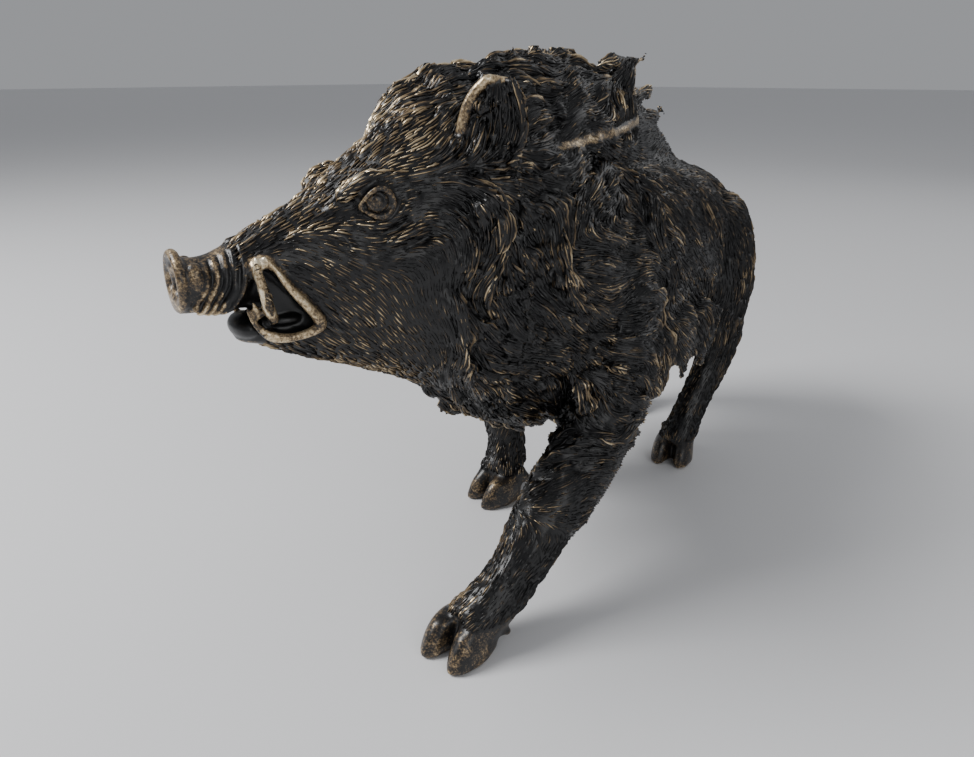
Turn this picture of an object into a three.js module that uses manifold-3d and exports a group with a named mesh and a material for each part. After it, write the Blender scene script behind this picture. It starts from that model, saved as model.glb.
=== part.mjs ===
// A walking boar cast in bronze as one piece, its head turned a little to its right.
// Millimetres, +Z up. The boar faces -Y, its left side is +X, and its soles stand on Z = 0.
// The origin is below the middle of its box.
import * as THREE from 'three';
import { mergeVertices } from 'three/addons/utils/BufferGeometryUtils.js';
import Module from 'manifold-3d';

const wasm = await Module();
wasm.setup();

// Driving dimensions.
const SNOUT = new THREE.Vector3(-28.5, -201, 183.5);
const SNOUT_RADIUS = 11;
const HEAD_TURN = THREE.MathUtils.degToRad(18);
const AXIS_HEIGHT = 155;
const EYE = { behind: 73, left: 23, height: 211.5, radius: 4.8 };
const EAR = { height: 33, width: 13, depth: 6 };
const HOOF_HEIGHT = 17;
const CLEFT = 2.2;
const LIP_THICKNESS = 1.5;

// Bronze, dark brown under its patina.
const BRONZE = { color: 0x2b2520, roughness: 0.45, metalness: 0.9 };

const UP = new THREE.Vector3(0, 0, 1);
const LEFT = new THREE.Vector3(1, 0, 0);
const BACKWARD = new THREE.Vector3(Math.sin(HEAD_TURN), Math.cos(HEAD_TURN), 0);
const LEFTWARD = new THREE.Vector3(Math.cos(HEAD_TURN), -Math.sin(HEAD_TURN), 0);

const point = (x, y, z) => new THREE.Vector3(x, y, z);
const join = (solids) => solids.reduce((all, next) => all.add(next));

// A point of the head: its distance behind the snout's face, out to its left, and its height.
function headPoint(behind, left, height) {
  return point(SNOUT.x, SNOUT.y, height)
    .addScaledVector(BACKWARD, behind)
    .addScaledVector(LEFTWARD, left);
}

// ---------------------------------------------------------------- closed forms

// A closed geometry as a solid, turned the right way out.
function solid(geometry) {
  geometry.deleteAttribute('normal');
  geometry.deleteAttribute('uv');
  const welded = mergeVertices(geometry, 1e-4);
  const vertProperties = new Float32Array(welded.attributes.position.array);
  const triVerts = new Uint32Array(welded.index.array);
  const corner = [point(), point(), point()];
  let volume = 0;
  for (let f = 0; f < triVerts.length; f += 3) {
    corner.forEach((c, k) => c.fromArray(vertProperties, 3 * triVerts[f + k]));
    volume += corner[0].dot(corner[1].clone().cross(corner[2]));
  }
  if (volume < 0) {
    triVerts.reverse();
  }
  return new wasm.Manifold(new wasm.Mesh({ numProp: 3, vertProperties, triVerts }));
}

// The geometry of a solid, for a mesh.
function geometryOf(manifold) {
  const mesh = manifold.getMesh();
  const geometry = new THREE.BufferGeometry();
  geometry.setAttribute('position', new THREE.BufferAttribute(mesh.vertProperties, 3));
  geometry.setIndex(new THREE.BufferAttribute(mesh.triVerts, 1));
  return geometry;
}

// A closed skin over rings of points, with a fan over each end.
function skin(rings) {
  const around = rings[0].length;
  const points = rings.flat();
  const faces = [];
  for (let first = 0; first + around < rings.length * around; first += around) {
    for (let i = 0; i < around; i += 1) {
      const a = first + i;
      const b = first + ((i + 1) % around);
      faces.push(a, b, b + around, a, b + around, a + around);
    }
  }
  const closeEnd = (ring, first, order) => {
    const middle = point();
    ring.forEach((p) => middle.addScaledVector(p, 1 / around));
    points.push(middle);
    for (let i = 0; i < around; i += 1) {
      const edge = [first + i, first + ((i + 1) % around)];
      faces.push(edge[order], edge[1 - order], points.length - 1);
    }
  };
  closeEnd(rings[0], 0, 1);
  closeEnd(rings.at(-1), (rings.length - 1) * around, 0);
  const geometry = new THREE.BufferGeometry().setFromPoints(points);
  geometry.setIndex(faces);
  return solid(geometry);
}

// One oval ring: its half width, and its heights above and below the middle. A pinched ring is
// narrower towards its top.
function oval(centre, side, rise, [across, over, under], around, power, pinch = 0) {
  const ring = [];
  for (let i = 0; i < around; i += 1) {
    const angle = (2 * Math.PI * i) / around;
    const round = (v) => Math.sign(v) * Math.abs(v) ** (2 / power);
    const height = round(Math.sin(angle));
    const narrowed = 1 - pinch * Math.max(0, height) ** 1.5;
    ring.push(
      centre
        .clone()
        .addScaledVector(side, across * narrowed * round(Math.cos(angle)))
        .addScaledVector(rise, height * (height > 0 ? over : under)),
    );
  }
  return ring;
}

// A smooth form through stations of [point, half width, above, below], its ends domed.
function loft(stations, choices = {}) {
  const { around = 14, steps = 2, power = 2, pinch = 0, level = false, domes = [0, 0] } = choices;
  const path = new THREE.CatmullRomCurve3(stations.map((s) => s[0]));
  const sizes = new THREE.CatmullRomCurve3(stations.map((s) => point(s[1], s[2], s[3])));
  const ringAt = (t, shrink = 1, shift = 0) => {
    const ahead = path.getTangent(t);
    if (level) {
      ahead.setZ(0).normalize();
    }
    const side = LEFT.clone().addScaledVector(ahead, -LEFT.dot(ahead)).normalize();
    const rise = side.clone().cross(ahead);
    const size = sizes.getPoint(t).multiplyScalar(shrink).toArray();
    const centre = path.getPoint(t).addScaledVector(ahead, shift);
    return oval(centre, side, rise, size, around, power, pinch);
  };
  const count = (stations.length - 1) * steps;
  const rings = [];
  for (let k = 0; k <= count; k += 1) {
    rings.push(ringAt(k / count));
  }
  const dome = (t, depth) => [0.6, 0.95].map((q) => ringAt(t, Math.sqrt(1 - q * q), q * depth));
  const front = domes[0] ? dome(0, -domes[0]).reverse() : [];
  const back = domes[1] ? dome(1, domes[1]) : [];
  return skin([...front, ...rings, ...back]);
}

// A ball drawn out along three directions.
function egg(centre, radii, around, turn = 0) {
  const ball = new THREE.SphereGeometry(1, around, around - 2);
  ball.scale(...radii);
  ball.rotateZ(turn);
  ball.translate(centre.x, centre.y, centre.z);
  return solid(ball);
}

// A lock of hair: a lens-shaped blade along a path, widest near its root, pointed at its tip.
// outward is the way its flat side faces at each point of the path.
function lock(path, outward, width, thickness) {
  const STEPS = 4;
  const spine = new THREE.CatmullRomCurve3(path);
  const facing = new THREE.CatmullRomCurve3(outward);
  const rings = [];
  for (let k = 0; k <= STEPS; k += 1) {
    const t = k / (STEPS + 0.35);
    const swell = (0.62 + 0.38 * Math.sin(Math.PI * Math.min(1, 1.5 * t))) * (1 - t ** 2.2);
    const ahead = spine.getTangent(t);
    const out = facing.getPoint(t);
    out.addScaledVector(ahead, -out.dot(ahead)).normalize();
    const side = ahead.clone().cross(out);
    const centre = spine.getPoint(t);
    const across = Math.max(0.5, width * swell);
    const deep = Math.max(0.4, thickness * Math.sqrt(swell));
    rings.push(
      [[1, 0], [0.1, 1], [-1, 0], [0, -0.8]].map(([a, h]) =>
        centre.clone().addScaledVector(side, a * across).addScaledVector(out, h * deep),
      ),
    );
  }
  return skin(rings);
}

// ---------------------------------------------------------------- trunk and neck

// Along the back: distance along Y, height of the middle, half width, above and below it.
const TRUNK = [
  [190, 152, 26, 30, 34],
  [180, 150, 36, 42, 44],
  [160, 148, 45, 50, 52],
  [128, 146, 52, 55, 60],
  [90, 146, 55, 58, 66],
  [50, 147, 58, 66, 68],
  [0, 150, 60, 76, 73],
  [-40, 158, 58, 80, 77],
  [-78, 170, 46, 74, 72],
];

// The mane's ridge, in the same way.
const CREST = [
  [132, 196, 10, 8, 20],
  [100, 203, 17, 18, 30],
  [62, 212, 23, 28, 40],
  [30, 218, 28, 33, 40],
  [-10, 219, 30, 35, 44],
  [-50, 217, 28, 36, 44],
  [-92, 216, 20, 31, 36],
];

function alongBack(table, choices) {
  const stations = table.map(([y, z, ...sizes]) => [point(0, y, z), ...sizes]);
  return loft(stations, { level: true, ...choices });
}

// ---------------------------------------------------------------- head

// Along the head: distance behind the snout, left of its line, height, half width, above, below.
const SKULL = [
  [4, 0, 183.5, 10.3, 9.6, 10.5],
  [13, 0, 183, 11.5, 11, 11],
  [24, 0, 184, 13.5, 15, 12],
  [36, 0, 186, 16.5, 18.5, 22],
  [52, 0, 187, 21, 25.5, 32],
  [68, 0, 188, 27, 36, 48],
  [86, 0, 187, 34, 50, 58],
  [108, -3, 184, 41, 64, 69],
  [134, -6, 174, 46, 70, 78],
];

// The lower jaw, which hangs open in front of the cheek.
const JAW = [
  [21, 0, 161.5, 7.5, 4, 3.5],
  [29, 0, 160.5, 11, 6, 4.5],
  [40, 0, 159, 14.5, 10, 9],
  [56, 0, 158, 19, 14, 15],
  [78, 0, 156, 26, 22, 23],
];

// The open mouth's outline on the head's side: distance behind the snout, and height.
const MOUTH = [
  [12, 171], [20, 174], [25.5, 188], [29, 190.5], [34, 184.5], [44, 171],
  [45, 165.5], [30, 163.5], [14, 166.5],
];

// The lips' edge round one side of the mouth: behind the snout, out to the side, height.
const LIPS = [
  [6, 9.5, 174.5], [14, 10.5, 174], [20, 11.8, 181], [25, 12.5, 189.5], [29.5, 15, 192],
  [36, 17, 182.5], [46, 18.5, 169], [46, 17.5, 163.5], [34, 15, 161.5], [24, 12, 164.5],
];

function alongHead(table, choices) {
  const stations = table.map(([behind, left, height, ...sizes]) => [
    headPoint(behind, left, height),
    ...sizes,
  ]);
  return loft(stations, { level: true, ...choices });
}

// The cut that opens the mouth on one side, down to the tongue and palate in the middle.
function mouthCut(hand) {
  const outline = new THREE.Shape(MOUTH.map(([behind, height]) => new THREE.Vector2(behind, height)));
  const DEPTH = 20;
  const CORE = 8.5;
  const cut = new THREE.ExtrudeGeometry(outline, { depth: DEPTH, bevelEnabled: false });
  cut.translate(0, 0, hand > 0 ? CORE : -CORE - DEPTH);
  cut.applyMatrix4(new THREE.Matrix4().makeBasis(BACKWARD, UP, LEFTWARD));
  cut.translate(SNOUT.x, SNOUT.y, 0);
  return solid(cut);
}

function lip(hand) {
  const stations = LIPS.map(([behind, aside, height]) => [
    headPoint(behind, hand * aside, height),
    LIP_THICKNESS,
    LIP_THICKNESS,
    LIP_THICKNESS,
  ]);
  return loft(stations, { around: 4, steps: 1 });
}

// The lower tusk stands out of the jaw and lifts the lip: behind, out to the side, height, radius.
const TUSK = [[31, 12.5, 166, 2.6], [29, 14.2, 174, 2.4], [27, 15.6, 184, 1.9], [26.2, 13.8, 193, 0.8]];

function tusk(hand) {
  const stations = TUSK.map(([behind, aside, height, radius]) => [
    headPoint(behind, hand * aside, height),
    radius,
    radius,
    radius,
  ]);
  return loft(stations, { around: 6, steps: 1 });
}

// The snout's round face, with its raised rim.
function snoutDisc() {
  const RIM = [[0, -2.5], [7, -2.2], [9.8, -1.2], [SNOUT_RADIUS, 1], [SNOUT_RADIUS, 3], [9.8, 5.5], [0, 6]];
  const disc = new THREE.LatheGeometry(RIM.map(([r, h]) => new THREE.Vector2(r, h)), 14);
  disc.applyMatrix4(new THREE.Matrix4().makeBasis(LEFTWARD, BACKWARD, UP));
  disc.translate(SNOUT.x, SNOUT.y, SNOUT.z);
  return solid(disc);
}

const nostril = (hand) => egg(headPoint(-2, hand * 4.6, 184.5), [2.4, 5, 3.2], 6, -HEAD_TURN);

// One eye: the ball in a ring of lids, and the brow over it.
function eye(hand) {
  const { behind, left, height, radius } = EYE;
  const ball = egg(headPoint(behind, hand * (left - 1), height), [radius, radius, radius], 8);
  const lids = new THREE.TorusGeometry(radius + 1.6, 1.9, 4, 9);
  lids.rotateY(Math.PI / 2);
  lids.rotateZ(-HEAD_TURN);
  const seat = headPoint(behind, hand * (left - 0.5), height);
  lids.translate(seat.x, seat.y, seat.z);
  const brow = [[57, 15, 211], [66, 18.5, 217.5], [77, 22, 220.5], [90, 26, 217]];
  const outward = LEFTWARD.clone().multiplyScalar(hand).add(UP);
  const arch = lock(
    brow.map(([s, l, z]) => headPoint(s, hand * l, z)),
    brow.map(() => outward),
    5,
    4,
  );
  return [ball, solid(lids), arch];
}

// One ear: an upright leaf, hollowed towards the front and the side.
function ear(hand) {
  const root = headPoint(118, hand * 25, 221);
  const rise = point(hand * 0.1, 0.1, 1).normalize();
  const open = point(hand * 0.62, -0.76, 0.12).normalize();
  const side = rise.clone().cross(open).normalize();
  const LEAF = [[0, 0.7], [0.3, 1], [0.6, 0.92], [0.85, 0.5], [1, 0.1]];
  const leaf = (scale, shift, first) =>
    skin(
      LEAF.map(([t, width]) => {
        const along = first + (EAR.height - first) * (t * (scale < 1 ? 0.86 : 1));
        const centre = root.clone().addScaledVector(rise, along).addScaledVector(open, shift);
        const sizes = [EAR.width * width * scale, EAR.depth * width * scale, EAR.depth * width * scale];
        return oval(centre, side, open, sizes, 8, 2);
      }),
    );
  return leaf(1, 0, -4).subtract(leaf(0.72, EAR.depth * 0.75, 4));
}

// ---------------------------------------------------------------- legs

// Down each leg: the point's x, y and height, then its half width and half depth.
const LEGS = [
  [
    [44, 4, 150, 20, 32],
    [50, -4, 114, 20.5, 29],
    [52, -28, 83, 20, 26],
    [51, -54, 62, 18.5, 22],
    [50, -78, 47, 16.5, 18.5],
    [48, -93, 33, 14, 15],
    [45, -108, 21, 13.5, 14],
    [41, -120, 13, 13.5, 13],
  ],
  [
    [-44, 8, 145, 20, 32],
    [-50, 10, 110, 20, 28],
    [-46, 14, 78, 16, 21],
    [-40, 16, 51, 13.5, 16],
    [-37, 15, 30, 12, 14.5],
    [-36, 10, 17, 13, 16],
    [-35, 2, 12, 13.5, 14],
  ],
  [
    [33, 152, 172, 15, 26],
    [38, 157, 148, 20, 34],
    [42, 157, 120, 19, 31],
    [43, 158, 92, 15, 23],
    [42, 154, 70, 12.5, 17],
    [39, 139, 48, 11.5, 13.5],
    [37, 124, 28, 11, 12.5],
    [35, 118, 13, 13, 13],
  ],
  [
    [-33, 154, 172, 15, 26],
    [-38, 158, 148, 20, 34],
    [-41, 164, 118, 19, 34],
    [-42, 174, 88, 15, 24],
    [-41, 182, 68, 12.5, 17],
    [-39, 182, 48, 11.5, 13],
    [-37, 177, 29, 11, 12],
    [-36, 173, 13, 12.5, 12.5],
  ],
];

// Where each hoof stands, how its toes turn out, its length and width, and its dewclaws' height.
const HOOVES = [
  { at: [38, -125], turn: -3, long: 35, wide: 34, spur: 3 },
  { at: [-34, -4], turn: -18, long: 33, wide: 31, spur: 11 },
  { at: [34, 116], turn: 12, long: 31, wide: 30, spur: 12 },
  { at: [-35, 170], turn: -10, long: 31, wide: 30, spur: 12 },
];

function leg(path) {
  const stations = path.map(([x, y, z, across, deep]) => [point(x, y, z), across, deep, deep]);
  return loft(stations, { around: 9, domes: [10, 0] });
}

// One toe: an almond outline, drawn in and leaned back as it rises from the sole.
function toe({ long, wide }, hand) {
  const AROUND = 8;
  const middle = 0.24 * wide;
  const rings = [[0, 1], [0.6, 0.9], [1, 0.66]].map(([rise, girth]) => {
    const ring = [];
    for (let i = 0; i < AROUND; i += 1) {
      const angle = (2 * Math.PI * i) / AROUND;
      const fore = Math.cos(angle);
      const aside = Math.sin(angle);
      const reach = aside > 0 ? wide / 2 - middle : middle - CLEFT / 2;
      const x = middle + aside * reach * (aside > 0 ? girth : 1);
      const y = (long / 2) * fore * girth - 0.13 * long * rise;
      ring.push(point(hand * x, -y, rise * HOOF_HEIGHT));
    }
    return ring;
  });
  return skin(rings);
}

// A dewclaw hangs behind the hoof on each side.
function dewclaw({ long, wide, spur }, hand) {
  const top = point(hand * wide * 0.24, long * 0.42, spur + 9);
  const tip = point(hand * wide * 0.42, long * 0.66, spur);
  return loft([[top, 5, 5, 5], [top.clone().lerp(tip, 0.6), 4.2, 4.2, 4.2], [tip, 2.4, 2.4, 2.4]], {
    around: 4,
    steps: 1,
  });
}

function hoof(shape) {
  const parts = [1, -1].flatMap((hand) => [toe(shape, hand), dewclaw(shape, hand)]);
  return join(parts).rotate([0, 0, shape.turn]).translate([shape.at[0], shape.at[1], 0]);
}

// ---------------------------------------------------------------- the bare animal

const head = join([
  alongHead(SKULL, { around: 14, power: 2.15, pinch: 0.22, domes: [0, 12] }),
  alongHead(JAW, { around: 8, domes: [3, 8] }),
  snoutDisc(),
])
  .subtract(join([mouthCut(1), mouthCut(-1), nostril(1), nostril(-1)]))
  .add(join([1, -1].flatMap((hand) => [lip(hand), tusk(hand), ...eye(hand)])));

const hide = join([
  alongBack(TRUNK, { around: 18, power: 2.2, domes: [8, 14] }),
  alongBack(CREST, { around: 12, domes: [8, 8] }),
  head,
  ...LEGS.map(leg),
]);

const bare = join([hide, ear(1), ear(-1), ...HOOVES.map(hoof)]);

// ---------------------------------------------------------------- hair

const hideMesh = new THREE.Mesh(geometryOf(hide), new THREE.MeshBasicMaterial({ side: THREE.DoubleSide }));
const caster = new THREE.Raycaster();

// The axis that hair is placed round: level along the trunk, and following the neck to the head.
const axisAt = (y) => point(y < -80 ? 0.33 * (y + 80) : 0, y, AXIS_HEIGHT);

// A point of the hide: its distance along Y, and its angle round the axis from the boar's left.
function onHide(y, angle, lift) {
  const turn = THREE.MathUtils.degToRad(angle);
  const out = point(Math.cos(turn), 0, Math.sin(turn));
  const REACH = 200;
  caster.set(axisAt(y).addScaledVector(out, REACH), out.clone().negate());
  const hit = caster.intersectObject(hideMesh)[0];
  return { place: hit.point.addScaledVector(out, lift), out };
}

// A lock that lies on the hide along [y, angle] points, its tip lifted off it.
function laidLock(route, width, thickness, lift = 0) {
  const spots = route.map(([y, angle], k) => onHide(y, angle, (lift * k) / (route.length - 1)));
  return lock(spots.map((s) => s.place), spots.map((s) => s.out), width, thickness);
}

// The same lock on the right side, a little further back.
const RIGHT_SHIFT = 4;
const onRight = (route) => route.map(([y, angle]) => [y + RIGHT_SHIFT, 180 - angle]);

// The neck, the shoulder's whorl and the mane: routes of [y, angle], then width and thickness.
// The right side is plainer, and has only those marked for both.
const LAID = [
  { route: [[-111, 58], [-102, 50], [-101, 41], [-103, 32], [-112, 17]], size: [9, 6], both: true },
  { route: [[-120, 20], [-114, 8], [-112, -6], [-108, -24], [-95, -46]], size: [6, 5], lift: 3 },
  { route: [[-60, 48], [-64, 36], [-66, 22], [-59, 6], [-46, -4], [-26, -9]], size: [5, 6], both: true },
  { route: [[-88, 13], [-68, 0], [-54, -8], [-38, -13], [-18, -9]], size: [5.5, 5.5] },
  { route: [[9, 61], [-10, 53], [-30, 45], [-54, 39]], size: [8, 4.5], both: true },
  { route: [[6, 59], [22, 46], [18, 33], [17, 20], [28, 6], [32, -14]], size: [8, 4.5] },
  { route: [[-89, -6], [-72, -21], [-58, -27], [-49, -36], [-42, -48]], size: [7, 5], both: true },
  { route: [[-84, 62], [-66, 57], [-48, 57], [-20, 65], [14, 70]], size: [7, 5], both: true },
];

// Along the mane's top: [y, angle] again, the tips blown up and back.
const TOP_LOCKS = [
  { route: [[-112, 95], [-96, 90], [-80, 88], [-62, 90]], size: [8, 4], lift: 2 },
  { route: [[-64, 89], [-38, 88], [-14, 87], [10, 86]], size: [8, 4], lift: 6 },
  { route: [[-30, 94], [-6, 93], [16, 93], [38, 94]], size: [8, 4], lift: 8 },
];

// The great lock at the mane's end, spread like a flag, and the tips that trail after it down
// the back: points, then width and thickness.
const FLAG = [
  { path: [[6, -14, 248], [9, 20, 256], [12, 46, 262], [14, 64, 265]], size: [8, 4] },
  { path: [[30, -34, 220], [31, 2, 226], [26, 34, 229], [17, 61, 233]], size: [6, 4.5] },
  { path: [[16, -20, 234], [19, 14, 241], [18, 40, 247], [14, 62, 250]], size: [17, 3] },
  { path: [[21, 50, 222], [18, 57, 238], [15, 60, 251], [14, 63, 265]], size: [3.5, 3] },
  { path: [[5, 44, 236], [8, 68, 243], [9, 90, 246]], size: [7, 4] },
  { path: [[2, 66, 226], [5, 94, 232], [7, 115, 234]], size: [8, 4] },
  { path: [[1, 86, 215], [4, 112, 220], [6, 129, 221]], size: [9, 5] },
  { path: [[0, 104, 205], [3, 126, 209], [5, 139, 207]], size: [9, 4] },
];

// A free lock, its flat side facing away from the mid-plane and a little up.
function freeLock({ path, size }, facing) {
  const points = path.map(([x, y, z]) => point(x, y, z));
  return lock(points, points.map(() => facing), ...size);
}

// The right side's flag is the left one's first three locks, further forward and lower.
const RIGHT_FLAG = { forward: 12, lower: 4 };

function mane() {
  const mirrored = FLAG.slice(0, 3).map(({ path, size }) => ({
    path: path.map(([x, y, z]) => [-x, y - RIGHT_FLAG.forward, z - RIGHT_FLAG.lower]),
    size,
  }));
  return [
    ...FLAG.map((shape) => freeLock(shape, point(0.9, -0.1, 0.35))),
    ...mirrored.map((shape) => freeLock(shape, point(-0.9, -0.1, 0.35))),
    ...TOP_LOCKS.map(({ route, size, lift }) => laidLock(route, ...size, lift)),
  ];
}

// Ragged hair under the brisket.
function brisket() {
  const locks = [];
  for (const [x, drop] of [[-17, 1], [-5, 6], [7, 5], [18, 2]]) {
    const path = [[0.8 * x, -58, 96], [x, -44, 83 - drop / 2], [1.05 * x, -24, 76 - drop]];
    locks.push(freeLock({ path, size: [8, 4.5] }, point(0, -0.5, -0.85)));
  }
  return locks;
}

// A fringe hangs along the flanks' lower edge, below the belly.
function fringe() {
  const FIRST = 16;
  const LAST = 104;
  const SPACING = 29;
  const locks = [];
  for (const hand of [1, -1]) {
    for (let y = FIRST; y <= LAST; y += SPACING) {
      const path = [[hand * 55, y - 16, 124], [hand * 56, y - 6, 98], [hand * 50, y + 2, 74]];
      locks.push(freeLock({ path, size: [24, 7] }, point(hand, 0, -0.3)));
    }
  }
  return locks;
}

// Tufts behind the elbows and down the back of the thighs.
const TUFTS = [
  { path: [[55, 20, 116], [60, 18, 98], [59, 8, 80], [54, -8, 66]], size: [8, 5] },
  { path: [[-56, 28, 112], [-61, 32, 96], [-58, 34, 76]], size: [9, 6] },
  { path: [[40, 182, 130], [42, 188, 112], [43, 191, 100]], size: [8, 5] },
  { path: [[42, 172, 104], [44, 180, 90], [44, 183, 80]], size: [8, 5] },
  { path: [[-40, 184, 130], [-42, 192, 112], [-43, 196, 98]], size: [8, 5] },
];

// The tail hangs down the rump, with a small tuft at its end: points and radii.
const TAIL = [
  [-3, 188, 178, 6],
  [-6, 198, 162, 4.5],
  [-7, 200, 142, 3.6],
  [-6, 199, 122, 5],
  [-5, 199, 108, 1.5],
];

function tail() {
  const stations = TAIL.map(([x, y, z, radius]) => [point(x, y, z), radius, radius, radius]);
  return loft(stations, { around: 5, steps: 1 });
}

const hair = [
  ...LAID.map(({ route, size, lift }) => laidLock(route, ...size, lift)),
  ...LAID.filter(({ both }) => both).map(({ route, size }) => laidLock(onRight(route), ...size)),
  ...mane(),
  ...brisket(),
  ...fringe(),
  ...TUFTS.map((shape) => freeLock(shape, point(Math.sign(shape.path[0][0]), 1, 0))),
  tail(),
];

const boar = new THREE.Mesh(geometryOf(join([bare, ...hair])), new THREE.MeshStandardMaterial(BRONZE));
boar.name = 'boar';
const group = new THREE.Group();
group.add(boar);

export default group;
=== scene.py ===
"""A walking boar cast in bronze, its coat carved lock by lock and strand by strand."""

import math

import bmesh
import bpy
import numpy as np
from mathutils import Matrix, Vector
from mathutils.bvhtree import BVHTree


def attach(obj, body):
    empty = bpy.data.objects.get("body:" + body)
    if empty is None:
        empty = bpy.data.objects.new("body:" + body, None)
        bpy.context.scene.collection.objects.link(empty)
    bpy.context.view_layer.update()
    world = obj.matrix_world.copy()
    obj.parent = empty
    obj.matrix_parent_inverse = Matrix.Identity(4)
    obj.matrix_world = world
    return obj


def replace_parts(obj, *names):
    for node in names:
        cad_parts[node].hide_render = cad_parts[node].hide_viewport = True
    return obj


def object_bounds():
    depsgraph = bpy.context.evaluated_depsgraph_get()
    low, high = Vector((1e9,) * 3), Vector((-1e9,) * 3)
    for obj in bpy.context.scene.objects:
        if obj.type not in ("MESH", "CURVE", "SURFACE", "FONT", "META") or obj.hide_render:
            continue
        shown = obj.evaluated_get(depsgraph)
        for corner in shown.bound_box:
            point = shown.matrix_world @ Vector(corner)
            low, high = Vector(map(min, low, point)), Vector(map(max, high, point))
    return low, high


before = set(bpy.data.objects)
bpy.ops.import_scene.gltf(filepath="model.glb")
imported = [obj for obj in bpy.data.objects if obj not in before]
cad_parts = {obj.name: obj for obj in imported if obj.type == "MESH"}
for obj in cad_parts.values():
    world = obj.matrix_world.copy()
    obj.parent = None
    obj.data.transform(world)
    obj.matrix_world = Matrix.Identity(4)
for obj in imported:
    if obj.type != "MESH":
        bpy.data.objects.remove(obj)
CAD_LOW, CAD_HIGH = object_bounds()

# Modelling is in millimetres, and a finished piece's mesh is in metres.
MM = 0.001
SOLID = "boar"
BODY = "root"
chance = np.random.default_rng(7)

# ---------------------------------------------------------------- where things are

# The head: the snout's face, and the way the head points.
SNOUT = np.array([-28.5, -201.0, 183.5])
HEAD_TURN = math.radians(18)
BACKWARD = np.array([math.sin(HEAD_TURN), math.cos(HEAD_TURN), 0.0])
LEFTWARD = np.array([math.cos(HEAD_TURN), -math.sin(HEAD_TURN), 0.0])
UPWARD = np.array([0.0, 0.0, 1.0])

# The trunk's axis, which the hair's routes are given round.
AXIS_HEIGHT = 155
NECK_START = -80
NECK_TURN = 0.33

# The eye, in the head's measures: behind the snout, out to the side, and height.
EYE = (71.5, 22.4, 210.8)
EYE_RADIUS = 4.9

# The ear's leaf.
EAR_ROOT = (119, 26, 222)
EAR_HEIGHT = 31
EAR_HALF_WIDTH = 12
EAR_CUP = 7

# Behind this the head's finer mesh ends and the trunk's begins.
HEAD_END = 136


def head_point(behind, left, height):
    """A point of the head: behind the snout's face, out to its left, and its height."""
    spot = SNOUT + behind * BACKWARD + left * LEFTWARD
    spot[2] = height
    return spot


def head_line(places, hand=1):
    """A line of the head's points, on its left side, or on its right with a hand of -1."""
    return np.array([head_point(behind, hand * left, height) for behind, left, height in places])


def head_places(points):
    """Points in the head's own measures: behind the snout, out to the left, and height."""
    from_snout = points - SNOUT
    return from_snout @ BACKWARD, from_snout @ LEFTWARD, points[:, 2]


def axis_at(y):
    return np.array([NECK_TURN * min(0, y - NECK_START), y, AXIS_HEIGHT])


def ramp(values, low, high):
    """0 at low, 1 at high, and a smooth change between."""
    share = np.clip((values - low) / (high - low), 0, 1)
    return share * share * (3 - 2 * share)


def unit(vectors):
    return vectors / np.maximum(np.linalg.norm(vectors, axis=-1, keepdims=True), 1e-9)


def flattened(vectors, normals):
    """Unit vectors laid into the surface that has these normals."""
    across = np.sum(vectors * normals, axis=-1, keepdims=True)
    return unit(vectors - across * normals)


def cloud(points, size, seed):
    """Smooth seeded noise from 0 to 1, with lumps of a size."""
    CELLS = 24
    lattice = np.random.default_rng(seed).random((CELLS, CELLS, CELLS))
    scaled = points / size
    base = np.floor(scaled).astype(int)
    part = scaled - base
    part = part * part * (3 - 2 * part)
    total = np.zeros(len(points))
    for corner in np.ndindex(2, 2, 2):
        share = np.prod(np.where(corner, part, 1 - part), axis=1)
        cell = (base + corner) % CELLS
        total += share * lattice[cell[:, 0], cell[:, 1], cell[:, 2]]
    return total


def resampled(points, count):
    """A polyline's points at even distances along it."""
    points = np.asarray(points, float)
    steps = np.linalg.norm(np.diff(points, axis=0), axis=1)
    along = np.concatenate([[0], np.cumsum(steps)])
    wanted = np.linspace(0, along[-1], count)
    return np.stack([np.interp(wanted, along, points[:, k]) for k in range(3)], axis=1)


def rounded(points, rounds=2):
    """A polyline with its corners cut, so that it bends smoothly."""
    points = np.asarray(points, float)
    for _ in range(rounds):
        early = 0.75 * points[:-1] + 0.25 * points[1:]
        late = 0.25 * points[:-1] + 0.75 * points[1:]
        inner = np.stack([early, late], axis=1).reshape(-1, points.shape[1])
        points = np.concatenate([points[:1], inner[1:-1], points[-1:]])
    return points


def dense(points, spacing):
    length = np.linalg.norm(np.diff(points, axis=0), axis=1).sum()
    return resampled(points, max(3, round(length / spacing)))


# ---------------------------------------------------------------- meshes

def numbers(items, name, width, kind=np.float32):
    found = np.empty(len(items) * width, kind)
    items.foreach_get(name, found)
    return found.reshape(-1, width) if width > 1 else found


def shown(name, data):
    piece = bpy.data.objects.new(name, data)
    bpy.context.scene.collection.objects.link(piece)
    return piece


def finished(name, shape):
    """The mesh of a bmesh, which is freed."""
    mesh = bpy.data.meshes.new(name)
    shape.to_mesh(mesh)
    shape.free()
    return mesh


def merged_copy(node):
    """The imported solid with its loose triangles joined, in millimetres."""
    shape = bmesh.new()
    shape.from_mesh(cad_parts[node].data)
    bmesh.ops.remove_doubles(shape, verts=shape.verts, dist=1e-6)
    bmesh.ops.scale(shape, vec=(1 / MM,) * 3, verts=shape.verts)
    return finished(node, shape)


def applied(data, *modifiers):
    """The mesh that (type, settings) modifiers make of a mesh or a curve."""
    piece = shown("in_work", data)
    for kind, settings in modifiers:
        modifier = piece.modifiers.new(kind, kind)
        for key, value in settings.items():
            setattr(modifier, key, value)
    graph = bpy.context.evaluated_depsgraph_get()
    made = bpy.data.meshes.new_from_object(piece.evaluated_get(graph))
    bpy.data.objects.remove(piece)
    return made


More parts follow.
